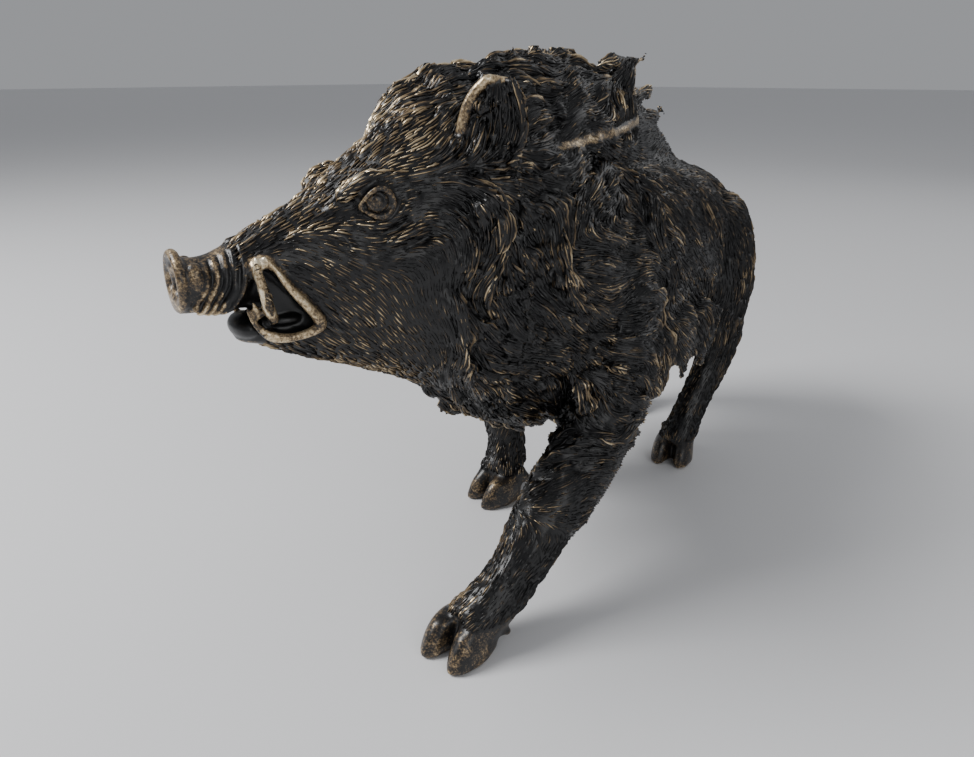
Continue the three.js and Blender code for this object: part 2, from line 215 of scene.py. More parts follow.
def recast(mesh, grain, smoothing):
    """One closed skin over everything in a mesh, with even faces."""
    return applied(
        mesh,
        ("REMESH", {"mode": "VOXEL", "voxel_size": grain, "adaptivity": 0}),
        ("SMOOTH", {"factor": 0.5, "iterations": smoothing}),
    )


def thinned(mesh, triangles):
    """The mesh with no more than a number of triangles, fewest where it is flat."""
    now = len(mesh.loops) - 2 * len(mesh.polygons)
    return applied(mesh, ("DECIMATE", {"ratio": min(1, triangles / now)}))


def mesh_of(name, points, faces):
    mesh = bpy.data.meshes.new(name)
    mesh.from_pydata(points.tolist(), [], faces.tolist())
    return mesh


def joined(*meshes):
    shape = bmesh.new()
    for mesh in meshes:
        shape.from_mesh(mesh)
    return finished("joined", shape)


def cut_off(mesh, behind, keep_front):
    """The part of a mesh in front of, or behind, an upright plane across the head."""
    shape = bmesh.new()
    shape.from_mesh(mesh)
    bmesh.ops.bisect_plane(
        shape,
        geom=shape.verts[:] + shape.edges[:] + shape.faces[:],
        plane_co=SNOUT + behind * BACKWARD,
        plane_no=BACKWARD,
        clear_outer=keep_front,
        clear_inner=not keep_front,
    )
    bmesh.ops.holes_fill(shape, edges=[e for e in shape.edges if e.is_boundary], sides=0)
    return finished("cut", shape)


def swelled(mesh, amounts):
    """Moves each point of a mesh out along its normal by an amount of its own."""
    points = numbers(mesh.vertices, "co", 3)
    normals = numbers(mesh.vertices, "normal", 3)
    points += normals * amounts[:, None].astype(np.float32)
    mesh.vertices.foreach_set("co", points.ravel())
    mesh.update()


def nearness(points, line, reach, tapering=False):
    """1 on a line, and less with the distance from it, down to 0 well past its reach. A
    tapering line also fades towards both its ends."""
    share = np.zeros(len(points))
    low = line.min(0) - 2.5 * reach
    high = line.max(0) + 2.5 * reach
    near = np.flatnonzero(np.all((points > low) & (points < high), axis=1))
    part = points[near]
    spots = dense(line, 0.5 * reach)
    apart = (part**2).sum(1)[:, None] + (spots**2).sum(1) - 2 * part @ spots.T
    share[near] = np.exp(-apart.min(1, initial=1e9) / reach**2)
    if tapering and len(near):
        along = apart.argmin(1) / (len(spots) - 1)
        share[near] *= np.sin(math.pi * along) ** 0.7
    return share


def carved(mesh, lines, tapering=False):
    """Raises the surface along lines, or sinks it where a height is below 0.

    Each line is its points, how far its slope reaches to each side, and its height."""
    points = numbers(mesh.vertices, "co", 3).astype(float)
    amounts = np.zeros(len(points))
    for line, reach, height in lines:
        amounts += height * nearness(points, line, reach, tapering)
    swelled(mesh, amounts)


def rope(points, radii):
    """A round rope through points, as thick at each as its radius says."""
    both = rounded(np.column_stack([points, radii]))
    curve = bpy.data.curves.new("rope", "CURVE")
    curve.dimensions = "3D"
    curve.bevel_depth = 1
    curve.bevel_resolution = 3
    curve.use_fill_caps = True
    line = curve.splines.new("POLY")
    line.points.add(len(both) - 1)
    for spot, (x, y, z, radius) in zip(line.points, both):
        spot.co = (x, y, z, 1)
        spot.radius = radius
    return applied(curve)


def ball(middle, across, along, up):
    """A rounded lump on the head, with its half sizes across, along and up."""
    shape = bmesh.new()
    bmesh.ops.create_uvsphere(shape, u_segments=28, v_segments=18, radius=1)
    columns = np.column_stack([across * LEFTWARD, along * BACKWARD, up * UPWARD, middle])
    place = Matrix([*columns.tolist(), [0, 0, 0, 1]])
    bmesh.ops.transform(shape, matrix=place, verts=shape.verts)
    return finished("ball", shape)


def settled(mesh):
    """Brings a finished mesh to metres, inside the solid's box, and smooth."""
    points = numbers(mesh.vertices, "co", 3) * MM
    points = np.clip(points, np.array(CAD_LOW), np.array(CAD_HIGH))
    mesh.vertices.foreach_set("co", points.astype(np.float32).ravel())
    mesh.shade_smooth()
    mesh.update()
    return mesh


def cast_piece(name, mesh, finish):
    piece = shown(name, settled(mesh))
    piece.data.materials.append(finish)
    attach(piece, BODY)
    return piece


# ---------------------------------------------------------------- great forms of hair

# Locks that stand clear along the crest: points down the middle of each, in millimetres,
# and how thick it is at each.
CREST_LOCKS = [
    (
        [[-14, -114, 232], [-13, -98, 243], [-12, -86, 250], [-12, -74, 254.5],
         [-11, -62, 255], [-9, -48, 251], [-4, -34, 250]],
        [4, 6.5, 7, 7, 6.5, 5.5, 4],
    ),
    (
        [[-4, -68, 248], [0, -43, 256], [0, -27, 258], [0, -13, 260], [1, 3, 262.3],
         [3, 13, 260], [8, 28, 255]],
        [4, 4.5, 5, 5, 4.8, 4.5, 3],
    ),
    ([[7, -68, 254], [13, -52, 252], [17, -38, 249], [22, -26, 243], [27, -12, 238]], [3, 4, 4, 3.5, 2]),
    ([[24, -58, 237], [24, -42, 239], [25, -28, 240], [23, -16, 244], [20, -6, 249]], [3, 4, 4, 3.5, 3]),
    ([[40, -76, 213], [42, -64, 213], [41, -52, 217], [33, -30, 221], [29, -14, 227]], [3, 4.5, 4.5, 4, 3]),
    ([[26, -108, 228], [28, -100, 236], [24, -84, 244], [20, -72, 249]], [3, 4, 4, 3]),
]

# Blunt tips of locks that stand out behind the mane.
TIPS = [
    ([[10, 52, 240], [11, 74, 245], [10, 88, 245]], [6, 4.5, 2.6]),
    ([[9, 58, 226], [11, 86, 232], [9, 105, 231]], [6, 5, 2.8]),
    ([[8, 78, 214], [10, 102, 220], [8, 113, 219]], [6, 4.5, 2.4]),
    ([[7, 96, 204], [9, 114, 209], [7, 124, 207]], [5, 4, 2.2]),
]

# The great blown plate of the mane: its upper and its lower edge, from front to back.
PLATE_TOP = [[9, -16, 257], [9, 16, 256], [11, 42, 260], [14, 64, 262.5]]
PLATE_FOOT = [[31, -40, 223], [30, 0, 227], [28, 26, 228], [21, 57, 231]]
PLATE_HOLLOW = 9
PLATE_THICKNESS = 4


def plate_point(top, foot, share, rise):
    """A point of the plate, at a share of its length and a share of its height."""
    place = foot * (1 - rise) + top * rise
    hollow = math.sin(math.pi * rise) ** 0.8 * math.sin(math.pi * min(1, share * 1.15)) ** 0.8
    place[0] -= PLATE_HOLLOW * hollow
    place[1] -= 7 * share**4 * math.sin(math.pi * rise)
    return place


def plate():
    """The plate with its rims and the knob at its tip."""
    STEPS = 16
    top = resampled(PLATE_TOP, STEPS + 1)
    foot = resampled(PLATE_FOOT, STEPS + 1)
    shape = bmesh.new()
    bmesh.ops.create_grid(shape, x_segments=STEPS, y_segments=STEPS, size=STEPS / 2)
    for vert in shape.verts:
        column = round(vert.co.x + STEPS / 2)
        rise = vert.co.y / STEPS + 0.5
        vert.co = plate_point(top[column], foot[column], column / STEPS, rise)
    sheet = applied(finished("plate", shape), ("SOLIDIFY", {"thickness": PLATE_THICKNESS, "offset": 0}))
    trailing = [plate_point(top[-1], foot[-1], 1, rise) for rise in np.linspace(0, 1, 7)]
    tip = top[-1]
    return joined(
        sheet,
        rope(top, np.linspace(2.5, 3.2, len(top))),
        rope(foot, np.linspace(3.4, 2.2, len(foot))),
        rope(trailing, [2.2] * 7),
        rope([tip - [1, 12, 2], tip, tip + [0, 4, -2]], [3, 3.6, 3]),
    )


def plate_guides():
    """Routes up the plate, which sweep back as they rise."""
    top = resampled(PLATE_TOP, 41)
    foot = resampled(PLATE_FOOT, 41)
    routes = []
    for start in (0.1, 0.3, 0.5, 0.7, 0.88):
        route = []
        for rise in np.linspace(0, 1, 8):
            share = start + (0.97 - start) * 0.8 * rise**1.6
            column = round(share * 40)
            route.append(plate_point(top[column], foot[column], share, rise))
        routes.append(np.array(route))
    return routes


# ---------------------------------------------------------------- the head's features

# Lines on the left side of the head, in its own measures. The right side mirrors them.
UPPER_LIP = [(4, 8, 176), (8, 9.5, 175.8), (13, 10, 175.6), (16.5, 10.8, 176.5), (19, 11.5, 180.5),
             (21.5, 12.2, 184.5), (25, 12, 190)]
UPPER_LIP_RADII = [1.8, 2.4, 2.6, 2.5, 2.1, 1.8, 1.3]
CHEEK_LIP = [(28.6, 14.2, 193.4), (30, 15, 192.2), (33, 16.5, 188), (35.5, 17.2, 183), (39, 18, 178),
             (43, 18.5, 173), (46.5, 18.5, 168.5), (47.5, 18, 165), (44, 17.3, 162.9), (38.5, 16.3, 161.6),
             (33.5, 15, 161.4), (28.5, 13.8, 162.6), (25, 13.2, 166), (22.6, 13, 170), (21.4, 12.6, 174.5)]
CHEEK_LIP_RADII = [0.6, 0.9, 1.3, 1.6, 1.8, 2.1, 2.5, 2.5, 1.9, 1.7, 1.9, 2.2, 1.4, 1, 0.7]
TUSK = [(31, 12.5, 168), (29, 14.2, 173), (28, 15.2, 178), (26.8, 15.6, 183.5), (26, 15, 189),
        (26.2, 13.8, 193.6)]
TUSK_RADII = [2.3, 2.4, 2.2, 1.9, 1.5, 0.8]
TOOTH = [(25.5, 12, 170), (24.3, 13.6, 174), (23.2, 14, 177.3)]
TOOTH_RADII = [1.3, 1.1, 0.5]
UPPER_LID = [(64.5, 21.3, 208.8), (66.2, 23.5, 212.2), (68.6, 25, 215), (72, 25.8, 216), (75.2, 26, 214.3),
             (77, 26, 211.4), (77.4, 25.8, 209)]
LOWER_LID = [(64.5, 21.3, 208.8), (66.8, 23.4, 206.8), (69, 25, 205.6), (72, 26, 205.2), (75, 26.2, 206.6),
             (77.4, 25.8, 209)]

# Raised (or, below 0, sunken) lines: the line, the reach of its slope, and its height.
CREASES = {
    "eye_bag": ([(63.5, 21.5, 203.5), (67, 23.5, 202), (71.3, 25.5, 202), (75.1, 26.5, 203.8),
                 (78.6, 27, 205.7), (80.6, 27, 208)], 1.5, 1.5),
    "eye_bag_hollow": ([(65, 24, 199.5), (70, 26, 198.8), (76, 27.6, 200), (81, 28.4, 203)], 1.5, -1.2),
    "cheek_fold": ([(73.5, 28, 195.4), (77.8, 29, 197.1), (83, 29.8, 199.2), (87, 30.3, 201.7),
                    (90, 30.5, 203.4)], 1.7, 1.6),
    "cheek_fold_hollow": ([(80, 29.8, 193.8), (86, 30.8, 195.6), (91, 31.2, 198)], 1.5, -1.3),
    "jowl_fold": ([(88.5, 32, 193), (92, 32.5, 193.8), (96, 33, 195)], 1.8, 1.5),
    "brow": ([(60, 18.5, 213), (63, 20, 215.8), (67, 20.8, 219), (71, 19.6, 222), (76, 17.8, 224.3),
              (84, 18, 227)], 2.2, 1.2),
    "brow_shadow": ([(60, 20.5, 210.5), (64, 22.3, 213.6), (67.5, 23.5, 217), (72, 24, 219),
                     (78, 24.5, 219)], 1.6, -1.6),
    "eye_corner": ([(80, 25.5, 219), (83.2, 26, 215.6), (85.6, 27.2, 211.8)], 1.8, 1.5),
    "cheek_bone": ([(42, 13.5, 199.5), (48, 15.8, 200.6), (54, 18.5, 200.2), (58, 20.6, 198),
                    (60, 21.8, 195)], 2, 1.7),
    "nose_side": ([(26, 11, 196), (36, 12, 201), (46, 12.5, 207), (56, 14, 212)], 3, -1.2),
    "mouth_gap": ([(22.6, 12, 176), (23.3, 12.5, 181), (24.4, 12.8, 186.5)], 1.1, -2.2),
    "lip_back": ([(32, 17, 193), (38, 18.5, 186), (44, 19.5, 178), (50, 20, 170)], 2, -1.2),
}
NOSTRILS = (4.4, -4.4)

# Folds round the side of the snout: each leans forward towards the lip.
FOLD_START = 8.2
FOLD_PITCH = 3.3
FOLD_COUNT = 5


def snout_folds(points):
    """How far the snout's folds raise or sink each point of the head."""
    behind, left, height = head_places(points)
    lean = 3.4 * (np.maximum(0, 190 - height) / 10) ** 2
    place = behind + lean - FOLD_START + 1.3 * (cloud(points, 6, 41) - 0.5)
    profile = np.abs(np.sin(math.pi * place / FOLD_PITCH)) ** 0.8 - 0.55
    last = FOLD_COUNT * FOLD_PITCH
    fade = ramp(place, -0.6, 0.8) * (1 - ramp(place, last - 2, last))
    fade *= ramp(np.abs(left), 3, 7) * ramp(height, 172, 176) * (1 - ramp(behind, 26, 30))
    return 1.5 * profile * fade


def snout_disc():
    """The snout's flared rim, and the pads behind its nostrils."""
    RIM = 9.4
    turns = np.radians(np.linspace(0, 345, 24))
    ring = [(0.6, RIM * math.cos(t), 185.2 + 1.06 * RIM * math.sin(t)) for t in turns]
    rims = [rope(head_line(ring[k:] + ring[:k + 1]), [2.1] * (len(ring) + 1)) for k in (0, 12)]
    pads = [ball(head_point(5.9, hand * 7.3, 186.6), 4.4, 4.3, 6.2) for hand in (1, -1)]
    return joined(*rims, *pads)


def mouth():
    """Lips, tusks and teeth on both sides, the chin and the tongue."""
    parts = [
        ball(head_point(23.5, 0, 164.8), 10.5, 6.4, 5.2),
        ball(head_point(38, 0, 166.5), 11.5, 12.5, 4.2),
    ]
    for hand in (1, -1):
        parts += [
            rope(head_line(UPPER_LIP, hand), UPPER_LIP_RADII),
            rope(head_line(CHEEK_LIP, hand), CHEEK_LIP_RADII),
            rope(head_line(TUSK, hand), TUSK_RADII),
            rope(head_line(TOOTH, hand), TOOTH_RADII),
        ]
    return joined(*parts)


def lids(hand):
    return joined(
        rope(head_line(UPPER_LID, hand), [0.7, 1, 1.2, 1.3, 1.2, 1, 0.8]),
        rope(head_line(LOWER_LID, hand), [0.7, 0.9, 1.1, 1.2, 1, 0.8]),
    )


def ear_point(hand, across, rise):
    """A point of an ear's leaf: from -1 to 1 across, and from 0 to 1 up it."""
    behind, left, height = EAR_ROOT
    up = unit(np.array([0.12 * hand, 0.12, 1]))
    facing = np.array([0.62 * hand, -0.76, 0.1])
    facing = unit(facing - (facing @ up) * up)
    side = hand * np.cross(up, facing)
    half = EAR_HALF_WIDTH * math.sqrt(1 - ((rise - 0.4) / 0.66) ** 2)
    cup = EAR_CUP * (1 - across**2) * (1 - 0.5 * rise)
    return (
        head_point(behind, hand * left, height)
        + EAR_HEIGHT * rise * up
        + half * across * side
        + (2.5 * rise**3 - cup) * facing
    )


def ear_rim(hand):
    """Down the front edge of an ear and round its top."""
    front = [ear_point(hand, -1, rise) for rise in np.linspace(0.15, 1, 7)]
    return np.array(front + [ear_point(hand, across, 1) for across in (-0.3, 0.4)])


def plate_rim():
    """Up the trailing edge of the plate to its tip, and along its foot."""
    top, foot = (resampled(line, 9) for line in (PLATE_TOP, PLATE_FOOT))
    trailing = [plate_point(top[-1], foot[-1], 1, rise) for rise in np.linspace(0, 1, 7)]
    return [np.array(trailing), foot]


def ear(hand):
    """One ear: a leaf hollowed towards the front, with a thick rim."""
    STEPS = 14
    shape = bmesh.new()
    bmesh.ops.create_grid(shape, x_segments=STEPS, y_segments=STEPS, size=1)
    for vert in shape.verts:
        vert.co = ear_point(hand, vert.co.x, (vert.co.y + 1) / 2)
    leaf = applied(finished("ear", shape), ("SOLIDIFY", {"thickness": 2.6, "offset": 0}))
    front = [ear_point(hand, -1, rise) for rise in np.linspace(0, 1, 7)]
    tip = [ear_point(hand, across, 1) for across in (-1, 0, 1)]
    rear = [ear_point(hand, 1, rise) for rise in np.linspace(1, 0, 7)]
    return joined(
        leaf,
        rope(front, [2, 2.2, 2.3, 2.3, 2.2, 2, 1.7]),
        rope(tip, [1.7, 1.8, 1.6]),
        rope(rear, [1.6, 1.5, 1.4, 1.4, 1.4, 1.5, 1.6]),
    )


def fine_forms():
    """What the head's finer mesh takes in: the snout, the mouth, the lids and the ears."""
    pairs = [make(hand) for hand in (1, -1) for make in (lids, ear)]
    return joined(snout_disc(), mouth(), *pairs)


def carve_head(mesh):
    """Folds the snout, sinks the nostrils and creases the face."""
    lines = []
    for hand, strength in ((1, 1), (-1, 0.6)):
        for line, reach, height in CREASES.values():
            lines.append((head_line(line, hand), reach, strength * height))
    carved(mesh, lines)
    swelled(mesh, snout_folds(numbers(mesh.vertices, "co", 3).astype(float)))
    points = numbers(mesh.vertices, "co", 3).astype(float)
    behind, left, height = head_places(points)
    front = 1 - ramp(behind, 3, 6)
    sink = 1.3 * np.exp(-(left**2 + (height - 185.2) ** 2) / 6.5**2)
    for nostril in NOSTRILS:
        sink += 4.5 * np.exp(-((left - nostril) / 2.2) ** 2 - ((height - 185) / 3.2) ** 2)
    points += (front * sink)[:, None] * BACKWARD
    mesh.vertices.foreach_set("co", points.astype(np.float32).ravel())
    mesh.update()


def eyeball(hand):
    """An eye: a ball with a ring sunk round its iris."""
    behind, left, height = EYE
    middle = head_point(behind, hand * left, height)
    shape = bmesh.new()
    bmesh.ops.create_uvsphere(shape, u_segments=40, v_segments=32, radius=EYE_RADIUS)
    gaze = Vector(unit(hand * LEFTWARD * 0.9 - 0.42 * BACKWARD + 0.08 * UPWARD))
    turn = gaze.to_track_quat("Z", "Y").to_matrix().to_4x4()
    for vert in shape.verts:
        out = math.degrees(math.acos(max(-1, min(1, vert.co.z / EYE_RADIUS))))
        vert.co *= 1 - 0.07 * math.exp(-(((out - 34) / 7) ** 2))
    bmesh.ops.transform(shape, matrix=Matrix.Translation(middle) @ turn, verts=shape.verts)
    return finished("eye", shape)


# ---------------------------------------------------------------- the way the hair runs

# Routes over the left side from root to tip: distance along Y, and angle round the axis up
# from the boar's left.
ROUTES = {
    "ruff": [[-111, 58], [-102, 51], [-100, 43], [-102, 34], [-107, 26], [-111, 20]],
    "ruff_front": [[-123, 53], [-116, 48], [-112, 41], [-114, 32], [-117, 24]],
    "throat": [[-120, 20], [-114, 10], [-112, -2], [-111, -15], [-105, -32], [-96, -45]],
    "neck_high": [[-95, 40], [-86, 34], [-73, 27], [-68, 17]],
    "neck_mid": [[-102, 18], [-96, 14], [-92, 6], [-93, 2]],
    "neck_low": [[-111, 8], [-104, -3], [-94, -13], [-82, -19]],
    "whorl": [[-61, 46], [-62, 39], [-67, 33], [-65, 21], [-59, 6], [-47, -4], [-30, -9]],
    "whorl_low": [[-87, 13], [-68, 0], [-55, -8], [-40, -13], [-22, -11]],
    "bowl_a": [[-51, 30], [-39, 24], [-16, 21], [9, 20]],
    "bowl_b": [[-58, 23], [-44, 19], [-24, 18], [4, 16]],
    "bowl_c": [[-60, 17], [-45, 6], [-32, 9], [-17, 13], [0, 12]],
    "bowl_d": [[-54, 0], [-38, -4], [-25, 1], [-9, 7]],
    "hump_front": [[5, 59], [-21, 47], [-42, 41], [-53, 40]],
    "hump_back": [[9, 59], [27, 45], [19, 33], [13, 21], [32, 3], [31, -11]],
    "leg_front": [[-89, -6], [-72, -21], [-58, -26], [-49, -35], [-43, -46]],
    "shoulder_low": [[-65, -12], [-49, -25], [-30, -31], [-17, -25], [-2, -19]],
    "crest": [[-58, 89], [-36, 89], [-16, 89], [9, 86]],
    "mane_top": [[-64, 86], [-45, 81], [-28, 76]],
    "mane_high": [[-58, 75], [-47, 75], [-31, 74], [-18, 76], [-8, 78]],
    "mane_mid": [[-71, 66], [-62, 66], [-48, 66], [-28, 68], [-6, 70], [23, 67]],
    "mane_low": [[-82, 61], [-66, 57], [-49, 57], [-18, 67], [11, 69]],
    "mane_nape": [[-96, 54], [-83, 54], [-69, 50], [-59, 45], [-61, 39]],
    "flank_front": [[47, 44], [66, 25], [91, -3], [121, -35]],
    "flank_back": [[79, 51], [96, 31], [111, 5]],
    "elbow": [[-8, -25], [3, -37]],
}

# The routes that stand up as ridges: how far their slopes reach, and how high.
RIDGES = {
    "ruff": (4.5, 2.6),
    "ruff_front": (4, 1.8),
    "throat": (3.5, 2.4),
    "neck_high": (4, 2),
    "neck_mid": (3.5, 1.8),
    "neck_low": (4, 2.2),
    "whorl": (3.5, 3),
    "whorl_low": (4, 2.4),
    "bowl_b": (3.5, -1.6),
    "bowl_c": (3, 1.6),
    "hump_front": (4, 1.5),
    "hump_back": (4.5, 2.4),
    "leg_front": (4, 2.2),
    "shoulder_low": (4, 2),
    "mane_nape": (4, 2.4),
    "flank_front": (6, 1.4),
    "flank_back": (6, -1.2),
}

# Hollows between them, sunk the same way.
HOLLOWS = [
    ([[-91, 50], [-87, 38], [-84, 24], [-72, 10], [-66, -2]], 7, -4),
    ([[-55, 36], [-53, 26], [-48, 15]], 5, -3),
    ([[-70, 58], [-60, 52]], 5, -3.5),
    ([[-67, -39], [-57, -51], [-45, -62]], 6, -4),
    ([[-111, -8], [-101, -30], [-94, -44]], 4, -2),
]

# The same on the right side, a little further back.
RIGHT_SHIFT = 4


def on_right(route):
    return [[y + RIGHT_SHIFT, 180 - angle] for y, angle in route]


# Routes over the head, for either side.
HEAD_ROUTES = {
    "nose": [(18, 6, 197), (45, 11, 208), (60, 12, 214), (85, 13, 228), (105, 14, 238)],
    "brow": [(52, 14, 208), (62, 18, 215), (74, 19, 222), (88, 20, 226), (100, 25, 226)],
    "under_eye": [(60, 21, 206), (68, 26, 202), (79, 28, 203), (90, 29, 209)],
    "eye_fold": [(56, 23, 199), (68, 28, 194), (82, 32, 196), (94, 34, 204)],
    "cheek": [(42, 17, 196), (54, 23, 188), (66, 28, 176), (78, 31, 160), (88, 30, 140)],
    "jaw": [(30, 12, 158), (46, 16, 150), (66, 20, 140), (88, 22, 128)],
    "cheek_back": [(88, 36, 200), (94, 40, 182), (100, 40, 162), (104, 36, 140)],
    "forehead": [(80, 4, 232), (100, 5, 243), (118, 5, 248)],
    "ear_front": [(98, 22, 226), (104, 24, 233), (109, 25, 240)],
}

# Down the middle of each leg, and round the front of the left upper arm.
LEG_LINES = {
    "left_fore": [[50, -78, 47], [48, -93, 33], [41, -120, 13]],
    "right_fore": [[-46, 14, 78], [-40, 16, 51], [-37, 15, 30], [-35, 2, 12]],
    "left_hind": [[40, 157, 130], [43, 158, 92], [42, 154, 70], [39, 139, 48], [35, 118, 13]],
    "right_hind": [[-40, 161, 130], [-42, 174, 88], [-41, 182, 68], [-39, 182, 48], [-36, 173, 13]],
}
ARM_WRAPS = [
    [[52, -72, 88], [66, -54, 84], [67, -30, 76], [58, -10, 70]],
    [[46, -84, 64], [64, -68, 62], [66, -46, 56], [54, -30, 50]],
]


def default_flow(points):
    """Away from the routes: back along the trunk and down the sides, back along the head."""
    behind, left, height = head_places(points)
    x, y, z = points.T
    fall = 0.15 + 0.75 * ramp(z, 225, 130) + 0.9 * ramp(y, 120, 190)
    fall *= ramp(z, 60, 80)
    trunk = np.stack([np.zeros_like(x), np.ones_like(x), -fall], axis=1)
    droop = 1.3 * ramp(height, 212, 165)
    head = BACKWARD - droop[:, None] * UPWARD
    on_head = (1 - ramp(behind, 96, 122))[:, None]
    return unit(on_head * head + (1 - on_head) * trunk)


def raw_flow(points, guides):
    """The way the hair runs near the hide, before it is laid in. guides are (places,
    directions, reach)."""
    DEFAULT = 0.08
    CHUNK = 20000
    places, directions, reach = guides
    total = DEFAULT * default_flow(points)
    for first in range(0, len(points), CHUNK):
        part = points[first:first + CHUNK]
        apart = (part**2).sum(1)[:, None] + (places**2).sum(1) - 2 * part @ places.T
        total[first:first + CHUNK] += np.exp(-apart / reach**2) @ directions
    return unit(total)


def combed(points, normals, guides):
    """The way the hair runs at points of the hide, from a lattice of it round them."""
    CELL = 3.5
    low = points.min(0) - CELL
    scaled = (points - low) / CELL
    base = scaled.astype(int)
    part = scaled - base
    near = np.zeros(base.max(0) + 2, bool)
    for corner in np.ndindex(2, 2, 2):
        near[tuple((base + corner).T)] = True
    nodes = np.argwhere(near)
    field = np.zeros((*near.shape, 3))
    field[tuple(nodes.T)] = raw_flow(nodes * CELL + low, guides)
    total = np.zeros((len(points), 3))
    for corner in np.ndindex(2, 2, 2):
        share = np.prod(np.where(corner, part, 1 - part), axis=1)
        total += share[:, None] * field[tuple((base + corner).T)]
    straight = flattened(total, normals)
    return waved(points, normals, straight)


def waved(points, normals, flow):
    """The flow swung from side to side, as the strands of a lock wave together."""
    behind, _, _ = head_places(points)
    most = math.radians(16) + math.radians(14) * ramp(behind, 80, 120)
    swing = 2 * most * (cloud(points, 22, 21) - 0.5)
    across = np.cross(normals, flow)
    return np.cos(swing)[:, None] * flow + np.sin(swing)[:, None] * across


class Hide:
    """A surface to lay hair on."""

    def __init__(self, mesh):
        points = numbers(mesh.vertices, "co", 3)
        self.tree = BVHTree.FromPolygons(points.tolist(), [p.vertices[:] for p in mesh.polygons])
        self.middles = numbers(mesh.polygons, "center", 3).astype(float)
        self.areas = numbers(mesh.polygons, "area", 1).astype(float)
        bends = numbers(mesh.vertices, "normal", 3).astype(float)
        first = numbers(mesh.polygons, "loop_start", 1, np.int32)
        corner = numbers(mesh.loops, "vertex_index", 1, np.int32)
        self.corners = corner[first]
        self.normals = unit(bends[corner[first]] + bends[corner[first + 2]])

    def cast(self, y, angle):
        """A point of the hide, from its distance along Y and its angle round the axis."""
        turn = math.radians(angle)
        out = Vector((math.cos(turn), 0, math.sin(turn)))
        return self.tree.ray_cast(Vector(axis_at(y)) + 200 * out, -out)[0]

    def route(self, pairs):
        return rounded([self.cast(y, angle) for y, angle in pairs])


def guides_on(hide):
    """The routes as dense places and directions, each with how far it is felt."""
    SPACING = 3
    lines = []
    for route in ROUTES.values():
        lines.append((hide.route(route), 8))
        lines.append((hide.route(on_right(route)), 8))
    for hand in (1, -1):
        lines += [(head_line(route, hand), 9) for route in HEAD_ROUTES.values()]
        for across in (-0.6, 0, 0.6):
            fur = [ear_point(hand, across + 0.5 * (rise - 0.5), rise) for rise in np.linspace(0, 1, 5)]
            lines.append((np.array(fur), 5))
    lines += [(rounded(line), 8) for line, _ in CREST_LOCKS + TIPS]
    lines += [(line, 6) for line in plate_guides()]
    lines += [(np.array(line, float), 20) for line in LEG_LINES.values()]
    lines += [(rounded(line), 14) for line in ARM_WRAPS]
    places, directions, reach = [], [], []
    for line, felt in lines:
        points = dense(line, SPACING)
        places.append(points)
        directions.append(unit(np.gradient(points, axis=0)))
        reach.append(np.full(len(points), felt, float))
    return np.concatenate(places), np.concatenate(directions), np.concatenate(reach)


# ---------------------------------------------------------------- growing hair

def comb_out(hide, seeds, spacing, longest, step):
    """Strands that lie side by side over the hide: lists of their points and faces.

    Each starts at a seed face that no strand covers yet, and runs both ways until it meets
    another strand, bare hide or its full length."""
    SHORTEST = 3
    cell = 0.45 * spacing.min()
    taken = set()
    strands = []
    nearest = hide.tree.find_nearest
    flow = hide.flow.tolist()
    bare = hide.bare.tolist()
    starts = hide.middles.tolist()
    balls = {}

    def offsets(radius):
        key = max(1, round(radius / cell))
        if key not in balls:
            span = range(-key, key + 1)
            balls[key] = [
                (i, j, k) for i in span for j in span for k in span
                if i * i + j * j + k * k <= (radius / cell) ** 2
            ]
        return balls[key]

    def cell_of(x, y, z):
        return int(x // cell), int(y // cell), int(z // cell)

    def walk(start, sense, room):
        trail = []
        x, y, z = start
        while len(trail) < room:
            found, _, face, _ = nearest((x, y, z))
            if face is None or bare[face] or cell_of(*found) in taken:
                break
            trail.append((found, face))
            along = flow[face]
            x = found.x + sense * step * along[0]
            y = found.y + sense * step * along[1]
            z = found.z + sense * step * along[2]
        return trail

    for seed in seeds.tolist():
        start = starts[seed]
        if bare[seed] or cell_of(*start) in taken:
            continue
        room = max(2, round(longest[seed] * chance.uniform(0.6, 1) / step))
        ahead = walk(start, 1, room)
        behind = walk(start, -1, max(1, room - len(ahead)) + 1)[1:]
        trail = behind[::-1] + ahead
        if len(trail) < SHORTEST:
            continue
        for found, face in trail:
            i, j, k = cell_of(*found)
            for a, b, c in offsets(0.5 * spacing[face]):
                taken.add((i + a, j + b, k + c))
        strands.append(([tuple(found) for found, _ in trail], [face for _, face in trail]))
    return strands


def blank(steps):
    """A strand's blank: a three-sided bar of unit size, cut into steps along Z."""
    shape = bmesh.new()
    bmesh.ops.create_cone(
        shape, segments=3, radius1=1, radius2=1, depth=steps, cap_ends=True, cap_tris=True
    )
    for cut in range(1, steps):
        bmesh.ops.bisect_plane(
            shape,
            geom=shape.verts[:] + shape.edges[:] + shape.faces[:],
            plane_co=(0, 0, cut - steps / 2),
            plane_no=(0, 0, 1),
        )
    bmesh.ops.triangulate(shape, faces=shape.faces)
    shape.verts.index_update()
    points = np.array([v.co for v in shape.verts])
    faces = np.array([[v.index for v in f.verts] for f in shape.faces])
    shape.free()
    points[:, 2] = np.round(points[:, 2] + steps / 2)
    return points, faces


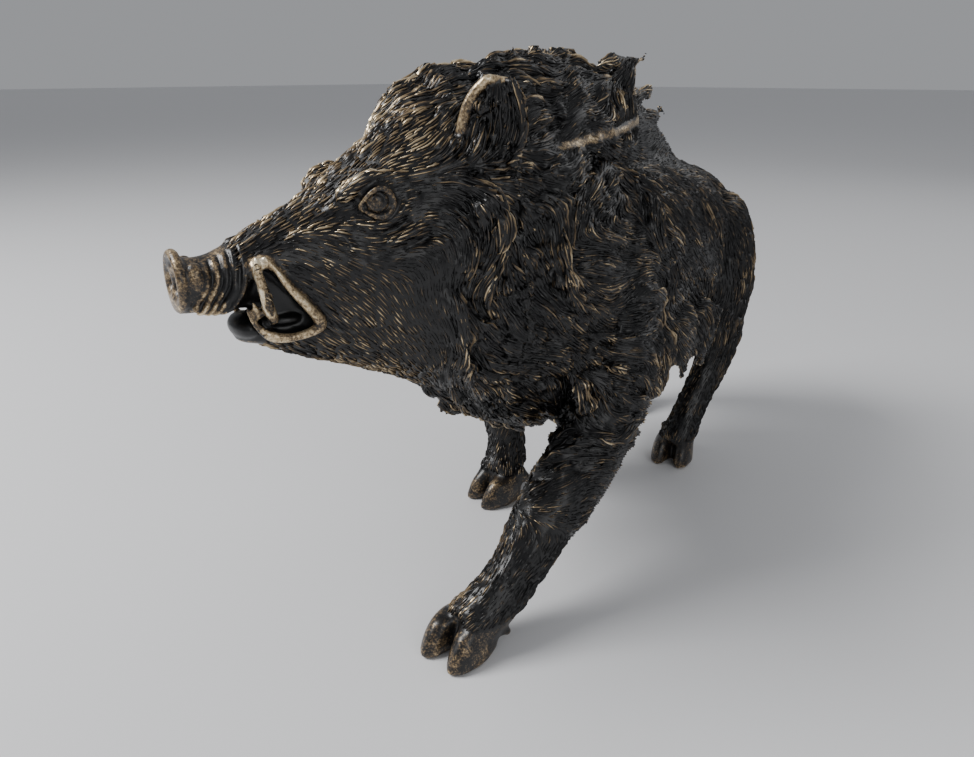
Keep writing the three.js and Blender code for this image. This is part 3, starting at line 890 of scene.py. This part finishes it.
def laid(name, hide, strands, cut):
    """One mesh of all the strands, and for each of its points whether it is on the strand's
    crest, which face of the hide is under it, and which strand it belongs to.

    cut has, for every face of the hide, the strand's half width and height there, and the
    lift of its whole length and of its tip."""
    LENGTHS = (2, 3, 4, 6, 8, 11)
    groups = {steps: [] for steps in LENGTHS}
    for index, (trail, faces) in enumerate(strands):
        wanted = (len(trail) - 1) * cut["step"] / cut["segment"]
        steps = next((n for n in LENGTHS if n >= wanted), LENGTHS[-1])
        pick = np.linspace(0, len(trail) - 1, steps + 1)
        low = np.floor(pick).astype(int)
        high = np.minimum(low + 1, len(trail) - 1)
        share = (pick - low)[:, None]
        trail = np.array(trail)
        faces = np.array(faces)
        path = trail[low] * (1 - share) + trail[high] * share
        outs = hide.normals[faces[low]] * (1 - share) + hide.normals[faces[high]] * share
        groups[steps].append((path, outs, faces[np.round(pick).astype(int)], index))
    points, corners, crest, under, owner = [], [], [], [], []
    first = 0
    for steps, group in groups.items():
        if not group:
            continue
        bar, faces = blank(steps)
        ring = bar[:, 2].astype(int)
        top = bar[:, 1] > 0
        paths = np.stack([g[0] for g in group])
        outs = unit(np.stack([g[1] for g in group]))
        beneath = np.stack([g[2] for g in group])
        ahead = unit(np.gradient(paths, axis=1))
        side = unit(np.cross(ahead, outs))
        middle = beneath[:, steps // 2]
        t = np.linspace(0, 1, steps + 1)
        swell = (0.45 + 0.55 * ramp(t, 0, 0.3)) * (1 - 0.85 * t**3)
        rise = (0.1 + 0.9 * ramp(t, 0, 0.3)) * (1 - 0.45 * t**4)
        index = np.array([g[3] for g in group])
        width = cut["width"][middle] * chance.uniform(0.8, 1.15, len(group))
        height = cut["height"][middle] * chance.uniform(0.7, 1.35, len(group))
        lift = cut["lift"][middle][:, None] + cut["tip"][middle][:, None] * t[ring] ** 2
        across = (bar[:, 0] / 0.866) * swell[ring]
        up = np.where(top, rise[ring], -0.5)
        spots = (
            paths[:, ring]
            + side[:, ring] * (across * width[:, None])[..., None]
            + outs[:, ring] * (up * height[:, None] + lift)[..., None]
        )
        count = len(group)
        points.append(spots.reshape(-1, 3))
        corners.append((faces + first + len(bar) * np.arange(count)[:, None, None]).reshape(-1, 3))
        crest.append(np.tile(top, count))
        under.append(beneath[:, ring].ravel())
        owner.append(np.repeat(index, len(bar)))
        first += len(bar) * count
    mesh = mesh_of(name, np.concatenate(points), np.concatenate(corners))
    return mesh, np.concatenate(crest), np.concatenate(under), np.concatenate(owner)


# ---------------------------------------------------------------- finishes

class Socket:
    """A shader value that Python's operators work on."""

    def __init__(self, finish, link):
        self.finish = finish
        self.link = link

    def maths(self, operation, other):
        return self.finish.node("Math", {"operation": operation}, {0: self, 1: other})

    def __add__(self, other):
        return self.maths("ADD", other)

    def __sub__(self, other):
        return self.maths("SUBTRACT", other)

    def __mul__(self, other):
        return self.maths("MULTIPLY", other)

    def __rsub__(self, other):
        return self.finish.node("Math", {"operation": "SUBTRACT"}, {0: other, 1: self})

    __radd__ = __add__
    __rmul__ = __mul__

    def between(self, low, high):
        """0 below low and 1 above high, with a smooth step between."""
        ranges = {"interpolation_type": "SMOOTHSTEP"}
        values = {"Value": self, "From Min": low, "From Max": high}
        return self.finish.node("MapRange", ranges, values)


class Finish:
    """A material, and one method that adds any node to it."""

    def __init__(self, name):
        self.material = bpy.data.materials.new(name)
        self.material.use_nodes = True
        self.nodes = self.material.node_tree.nodes
        self.links = self.material.node_tree.links
        self.shader = self.nodes["Principled BSDF"]

    def node(self, kind, settings=None, values=None, output=0):
        made = self.nodes.new("ShaderNode" + kind)
        for key, value in (settings or {}).items():
            if key == "stops":
                self.set_stops(made.color_ramp, value)
            else:
                setattr(made, key, value)
        self.feed(made, values or {})
        return Socket(self, made.outputs[output])

    def set_stops(self, band, stops):
        while len(band.elements) < len(stops):
            band.elements.new(1)
        for element, (position, colour) in zip(band.elements, stops):
            element.position = position
            element.color = (*colour, 1)

    def feed(self, node, values):
        for key, value in values.items():
            if isinstance(value, Socket):
                self.links.new(value.link, node.inputs[key])
            else:
                node.inputs[key].default_value = value


# Bronze from the hollows of its patina up to where hands have rubbed it bare.
PATINA_SHEEN_AND_WEAR = [
    # The darkest stops carry a faint blue tint, a painted reflection.
    (0.0, (0.0014, 0.0014, 0.0018)),
    (0.30, (0.0035, 0.0033, 0.0038)),
    # This stop is the painted sheen of crests that are not rubbed.
    (0.44, (0.020, 0.016, 0.013)),
    (0.58, (0.17, 0.115, 0.06)),
    (0.76, (0.62, 0.48, 0.29)),
    (1.0, (0.94, 0.83, 0.63)),
]


def bronze(finish, rub):
    """Sets a finish's shader to bronze by a share from 0 to 1: dark patina, then a painted sheen, then
    rubbed bare metal.
    """
    bare = rub.between(0.5, 0.78)
    finish.feed(finish.shader, {
        "Base Color": finish.node("ValToRGB", {"stops": PATINA_SHEEN_AND_WEAR}, {"Fac": rub}),
        "Metallic": 0.7 * bare,
        "Roughness": 0.34 - 0.02 * bare,
        "Specular IOR Level": 0.45,
        "Coat Weight": 0.06,
        "Coat Roughness": 0.2,
    })
    return finish.material


def strand_bronze():
    """The coat's bronze: patina and painted shade low in V, a painted sheen in the middle, rubbed bare
    high.
    """
    finish = Finish("patina_sheen_and_shade_on_hair")
    place = finish.node("UVMap", {"uv_map": "OFBake"})
    return bronze(finish, finish.node("SeparateXYZ", {}, {0: place}, output=1))


def body_bronze():
    """The smooth places' bronze, rubbed as its attribute says, with fine casting grain."""
    finish = Finish("patina_on_body")
    rub = finish.node("Attribute", {"attribute_name": "rub"}, output=2)
    here = finish.node("TexCoord", {}, output=3)
    fine = finish.node("TexNoise", {}, {"Vector": here, "Scale": 900.0, "Detail": 4.0, "Roughness": 0.7})
    broad = finish.node("TexNoise", {}, {"Vector": here, "Scale": 160.0, "Detail": 3.0})
    material = bronze(finish, rub + 1.1 * fine + 0.6 * broad - 0.85)
    grain = finish.node("Bump", {}, {"Strength": 0.25, "Distance": 0.0003, "Height": fine})
    finish.feed(finish.shader, {"Normal": grain})
    return material


def set_map(mesh, tone, rub):
    """Gives a mesh the UV map that the coat's bronze reads; V carries the rub with its painted sheen and
    shade.
    """
    layer = mesh.uv_layers.new(name="OFBake")
    corner = numbers(mesh.loops, "vertex_index", 1, np.int32)
    spots = np.stack([tone, rub], axis=1).clip(0.002, 0.998)[corner]
    layer.uv.foreach_set("vector", spots.astype(np.float32).ravel())


def set_rub(mesh, rub):
    layer = mesh.attributes.new("rub", "FLOAT", "POINT")
    layer.data.foreach_set("value", rub.astype(np.float32))


# ---------------------------------------------------------------- the casting

def relief(mesh, rounds):
    """How far each point of an even mesh stands out of its surroundings, in millimetres."""
    points = numbers(mesh.vertices, "co", 3).astype(float)
    normals = numbers(mesh.vertices, "normal", 3).astype(float)
    edges = numbers(mesh.edges, "vertices", 2, np.int32)
    count = np.bincount(edges.ravel(), minlength=len(points))[:, None]
    calm = points.copy()
    for _ in range(rounds):
        total = np.zeros_like(calm)
        for a, b in ((0, 1), (1, 0)):
            for k in range(3):
                total[:, k] += np.bincount(edges[:, a], calm[edges[:, b], k], len(points))
        calm = 0.4 * calm + 0.6 * total / count
    return ((points - calm) * normals).sum(1)


def bare_places(points):
    """1 on smooth bronze: the hooves, the front of the snout, the mouth and the eyes."""
    behind, left, height = head_places(points)
    bare = 1 - ramp(points[:, 2], 17, 19)
    muzzle_end = 19 + 8 * ramp(height, 190, 180)
    bare = np.maximum(bare, (behind < muzzle_end) & (height > 156))
    for hand in (1, -1):
        for line, reach in ((UPPER_LIP, 3), (CHEEK_LIP, 3.2), (UPPER_LID, 2), (LOWER_LID, 2.4)):
            bare = np.maximum(bare, nearness(points, head_line(line, hand), reach) > 0.4)
        eye = np.linalg.norm(points - head_point(EYE[0], hand * EYE[1], EYE[2]), axis=1)
        bare = np.maximum(bare, eye < EYE_RADIUS + 2.2)
        bare = np.maximum(bare, nearness(points, ear_rim(hand), 3) > 0.5)
    for rim in plate_rim():
        bare = np.maximum(bare, nearness(points, rim, 3.4) > 0.5)
    inside = (behind < 48) & (np.abs(left) < 16) & (height < 192) & (height > 160.5)
    return np.maximum(bare, inside & (height < 192 - 0.9 * np.abs(behind - 30)))


def where_hair(points):
    """The face, the legs and the rump: each a share from 0 to 1 at points of the hide."""
    behind, left, height = head_places(points)
    x, y, z = points.T
    face = 1 - ramp(behind, 92, 112)
    legs = (1 - ramp(z, 62, 84)) * (1 - face)
    rear = ramp(y, 25, 50) * (1 - legs)
    return face, legs, rear


def raw_form():
    """The solid's shape, smooth, with the great locks of the crest."""
    solid = recast(merged_copy(SOLID), 1.5, 5)
    locks = [rope(line, radii) for line, radii in CREST_LOCKS + TIPS]
    form = recast(joined(solid, plate(), *locks), 1.3, 2)
    hide = Hide(form)
    ridges = []
    for name, (reach, height) in RIDGES.items():
        ridges.append((hide.route(ROUTES[name]), reach, height))
        ridges.append((hide.route(on_right(ROUTES[name])), reach, 0.7 * height))
    for route, reach, height in HOLLOWS:
        ridges.append((hide.route(route), reach, height))
        ridges.append((hide.route(on_right(route)), reach, 0.7 * height))
    carved(form, ridges, tapering=True)
    points = numbers(form.vertices, "co", 3).astype(float)
    face, legs, rear = where_hair(points)
    behind, _, _ = head_places(points)
    hairy = ramp(points[:, 2], 18, 40) * ramp(behind, 30, 100)
    growth = 3.2 - 2.5 * face - 2.0 * legs - 1.4 * rear
    swelled(form, hairy * (2.2 * (cloud(points, 17, 31) - 0.5) - growth))
    return form


form = raw_form()
rough_hide = Hide(form)
guides = guides_on(rough_hide)


def with_locks(form, spacing, longest, height, tip, seed):
    """The form with locks laid over it and cast in: as far apart, at most as long, as high
    and with their tips as far up as (trunk, face, legs, rear) values say."""
    LOCK_STEP = 2.0
    hide = Hide(form)
    hide.flow = combed(hide.middles, hide.normals, guides)
    face, legs, rear = where_hair(hide.middles)

    def mixed(values):
        trunk, *others = values
        shares = zip((face, legs, rear), others)
        return trunk + sum(share * (value - trunk) for share, value in shares)

    high = mixed(height)
    apart = mixed(spacing)
    hide.bare = (bare_places(hide.middles) > 0.5) | (high < 0.3)
    cut = {
        "step": LOCK_STEP,
        "segment": 4.0,
        "width": 0.6 * apart,
        "height": high,
        "lift": 0.5 * high * (cloud(hide.middles, 9, seed) - 0.6),
        "tip": mixed(tip),
    }
    seeds = chance.permutation(len(hide.middles))
    locks = comb_out(hide, seeds, apart, mixed(longest), LOCK_STEP)
    lock_mesh, *_ = laid("locks", hide, locks, cut)
    return joined(form, lock_mesh)


# Each row of values is for the trunk, the face, the legs and the rump, in millimetres.
GREAT_LOCKS = {
    "spacing": (11, 11, 11, 9),
    "longest": (56, 20, 20, 24),
    "height": (4.2, 0, 0, 1.6),
    "tip": (1.2, 0, 0, 0),
    "seed": 12,
}
SMALL_LOCKS = {
    "spacing": (5, 4, 4, 5),
    "longest": (36, 16, 14, 20),
    "height": (2.2, 0.6, 0.8, 1.0),
    "tip": (0.6, 0, 0.2, 0),
    "seed": 13,
}
FORM_GRAIN = 1.3
HEAD_GRAIN = 0.8
TRUNK_GRAIN = 1.1

form = with_locks(form, **GREAT_LOCKS)
form = recast(form, FORM_GRAIN, 1)
form = with_locks(form, **SMALL_LOCKS)

head = recast(joined(cut_off(form, HEAD_END, True), fine_forms()), HEAD_GRAIN, 1)
carve_head(head)
places = numbers(head.vertices, "co", 3).astype(float)
behind, _, _ = head_places(places)
swelled(head, -0.9 * ramp(behind, HEAD_END - 5, HEAD_END - 1))
trunk = recast(cut_off(form, HEAD_END - 4, False), TRUNK_GRAIN, 2)

skin = joined(head, trunk)
hide = Hide(skin)
hide.flow = combed(hide.middles, hide.normals, guides)
hide.bare = bare_places(hide.middles) > 0.5
face, legs, rear = where_hair(hide.middles)
right = ramp(hide.middles[:, 0], 0, -25)
spacing = 1.45 - 0.3 * face + 0.35 * right + 0.1 * rear - 0.15 * legs
longest = 30 - 22 * face - 22 * legs - 12 * rear
STEP = 0.9
seeds = chance.permutation(np.flatnonzero(~hide.bare))
strands = comb_out(hide, seeds, spacing, longest, STEP)

strand_cut = {
    "step": STEP,
    "segment": 3.0,
    "width": 0.54 * spacing,
    "height": 1.1 - 0.3 * face - 0.35 * legs - 0.2 * rear,
    "lift": 0.4 * (cloud(hide.middles, 4.0, 11) - 0.45),
    "tip": np.zeros(len(spacing)),
}
standing = relief(skin, 12)[hide.corners]
broad = relief(skin, 60)[hide.corners]

REGIONS = ("face_hair", "mane_hair", "left_hair", "right_hair", "leg_hair")


def region_of(middle):
    """The piece of the coat that holds a strand with this middle."""
    behind = (middle - SNOUT) @ BACKWARD
    if behind < 106:
        return "face_hair"
    if middle[2] < 70:
        return "leg_hair"
    if middle[2] > 208 and middle[1] < 70:
        return "mane_hair"
    return "left_hair" if middle[0] > 0 else "right_hair"


def gilded(points):
    """The lines along which hands have worn the coat most."""
    worn = np.zeros(len(points))
    for name in ("whorl", "ruff", "throat", "mane_nape"):
        worn += 0.22 * nearness(points, rough_hide.route(ROUTES[name]), 3.5, tapering=True)
    for line, _ in CREST_LOCKS[:2]:
        worn += 0.3 * nearness(points, np.array(line, float) + [0, 0, 4], 5)
    for hand in (1, -1):
        for name in ("brow", "cheek_bone", "eye_bag", "cheek_fold"):
            worn += 0.22 * nearness(points, head_line(CREASES[name][0], hand), 3)
    return worn


def rub_sheen_and_shade(points, under, owner, crest):
    """How far each point of the coat is rubbed bare, with painted sheen on crests and painted shade in
    grooves.
    """
    luck = chance.random(owner.max() + 1)
    upward = ramp(hide.normals[:, 2], 0.1, 0.9)
    # Strands of the face are made lighter the more they face upward.
    gold = 0.37 + 0.13 * face + 0.16 * face * upward - 0.01 * rear + gilded(hide.middles)
    gold += 0.26 * np.clip(standing, -1.2, 0.9) + 0.07 * np.clip(broad, -3, 2)
    rub = gold[under]
    rub += 0.34 * (luck[owner] - 0.5) + 0.45 * (cloud(points, 15, 5) - 0.5)
    rub += 0.5 * (cloud(points, 2.4, 6) - 0.5)
    # Crests keep their value, a painted sheen where they are not rubbed; bases drop to 0.3 of it, darkening
    # the grooves as patina and as painted shade.
    return np.where(crest, rub, 0.3 * np.minimum(rub, 1))


hair_finish = strand_bronze()
by_region = {name: [] for name in REGIONS}
for strand in strands:
    by_region[region_of(np.array(strand[0][len(strand[0]) // 2]))].append(strand)
for name, part in by_region.items():
    coat, crest, under, owner = laid(name, hide, part, strand_cut)
    spots = numbers(coat.vertices, "co", 3).astype(float)
    set_map(coat, 0.5 + 0.4 * (cloud(spots, 6, 8) - 0.5), rub_sheen_and_shade(spots, under, owner, crest))
    cast_piece(name, coat, hair_finish)

body_finish = body_bronze()


def body_rub(mesh, relief_share):
    """How far the smooth bronze has been rubbed: little where the coat covers it, and more
    where it stands out, by a share of each millimetre."""
    points = numbers(mesh.vertices, "co", 3).astype(float)
    open_bronze = bare_places(points)
    rub = 0.12 + open_bronze * (0.27 + np.clip(relief_share * relief(mesh, 8), -0.3, 0.35))
    behind, left, height = head_places(points)
    # Lighter at the snout's face, and darker towards the bottom of the hooves.
    rub += 0.05 * (1 - ramp(behind, 18, 24)) - 0.03 * (1 - ramp(points[:, 2], 14, 20))
    # Darker inside the jaws.
    in_jaws = (np.abs(left) < 14.5) & (np.abs(behind - 32) < 18)
    rub -= 0.3 * (in_jaws & (np.abs(height - 175) < 15))
    lip_foot = [(s, l, z - 2) for s, l, z in UPPER_LIP]
    for hand in (1, -1):
        rub += 0.34 * nearness(points, head_line(CHEEK_LIP, hand), 2.2)
        rub += 0.8 * nearness(points, head_line(TUSK[1:], hand), 2.6)
        rub += 0.5 * nearness(points, head_line(TOOTH, hand), 1.6)
        rub += 0.3 * nearness(points, head_line(lip_foot, hand), 1.6)
        rub += 0.28 * nearness(points, ear_rim(hand), 2.4)
    for rim in plate_rim():
        rub += 0.25 * nearness(points, rim, 2.6)
    return rub


HEAD_TRIANGLES = 190000
TRUNK_TRIANGLES = 130000

head = thinned(head, HEAD_TRIANGLES)
set_rub(head, body_rub(head, 0.4))
cast_piece("head", head, body_finish)
trunk = thinned(trunk, TRUNK_TRIANGLES)
set_rub(trunk, body_rub(trunk, 0.08))
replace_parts(cast_piece("trunk", trunk, body_finish), SOLID)
for name, hand in (("left_eye", 1), ("right_eye", -1)):
    eye = eyeball(hand)
    set_rub(eye, np.full(len(eye.vertices), 0.42))
    cast_piece(name, eye, body_finish)


# ---------------------------------------------------------------- studio

CAMERA_PLACE = (0.2245, -0.341, 0.255)
CAMERA_TURN = 38
CAMERA_DROP = 22
LENS = 27.9


def camera():
    data = bpy.data.cameras.new("camera")
    data.lens = LENS
    data.clip_start = 0.01
    eye = bpy.data.objects.new("camera", data)
    eye.location = CAMERA_PLACE
    eye.rotation_euler = (math.radians(90 - CAMERA_DROP), 0, math.radians(CAMERA_TURN))
    bpy.context.scene.collection.objects.link(eye)
    bpy.context.scene.camera = eye


def softbox(name, place, aim, size, power):
    data = bpy.data.lights.new(name, "AREA")
    data.shape = "SQUARE"
    data.size = size
    data.energy = power
    lamp = bpy.data.objects.new(name, data)
    lamp.location = place
    lamp.rotation_euler = (Vector(aim) - Vector(place)).to_track_quat("-Z", "Y").to_euler()
    bpy.context.scene.collection.objects.link(lamp)


def studio():
    shape = bmesh.new()
    bmesh.ops.create_grid(shape, x_segments=1, y_segments=1, size=15)
    floor_mesh = bpy.data.meshes.new("floor")
    shape.to_mesh(floor_mesh)
    shape.free()
    finish = Finish("pale_floor")
    finish.feed(finish.shader, {"Base Color": (0.72, 0.72, 0.73, 1), "Roughness": 0.6})
    floor_mesh.materials.append(finish.material)
    shown("floor", floor_mesh)
    world = bpy.data.worlds.new("studio")
    world.use_nodes = True
    world.node_tree.nodes["Background"].inputs["Color"].default_value = (0.86, 0.88, 0.92, 1)
    world.node_tree.nodes["Background"].inputs["Strength"].default_value = 0.38
    bpy.context.scene.world = world
    middle = (0, 0, 0.13)
    softbox("window", (-0.9, -0.9, 1.3), middle, 0.8, 36)
    softbox("fill", (1.3, -0.6, 0.8), middle, 1.0, 5)
    softbox("back", (0.4, 1.4, 1.1), middle, 1.0, 3)


camera()
studio()
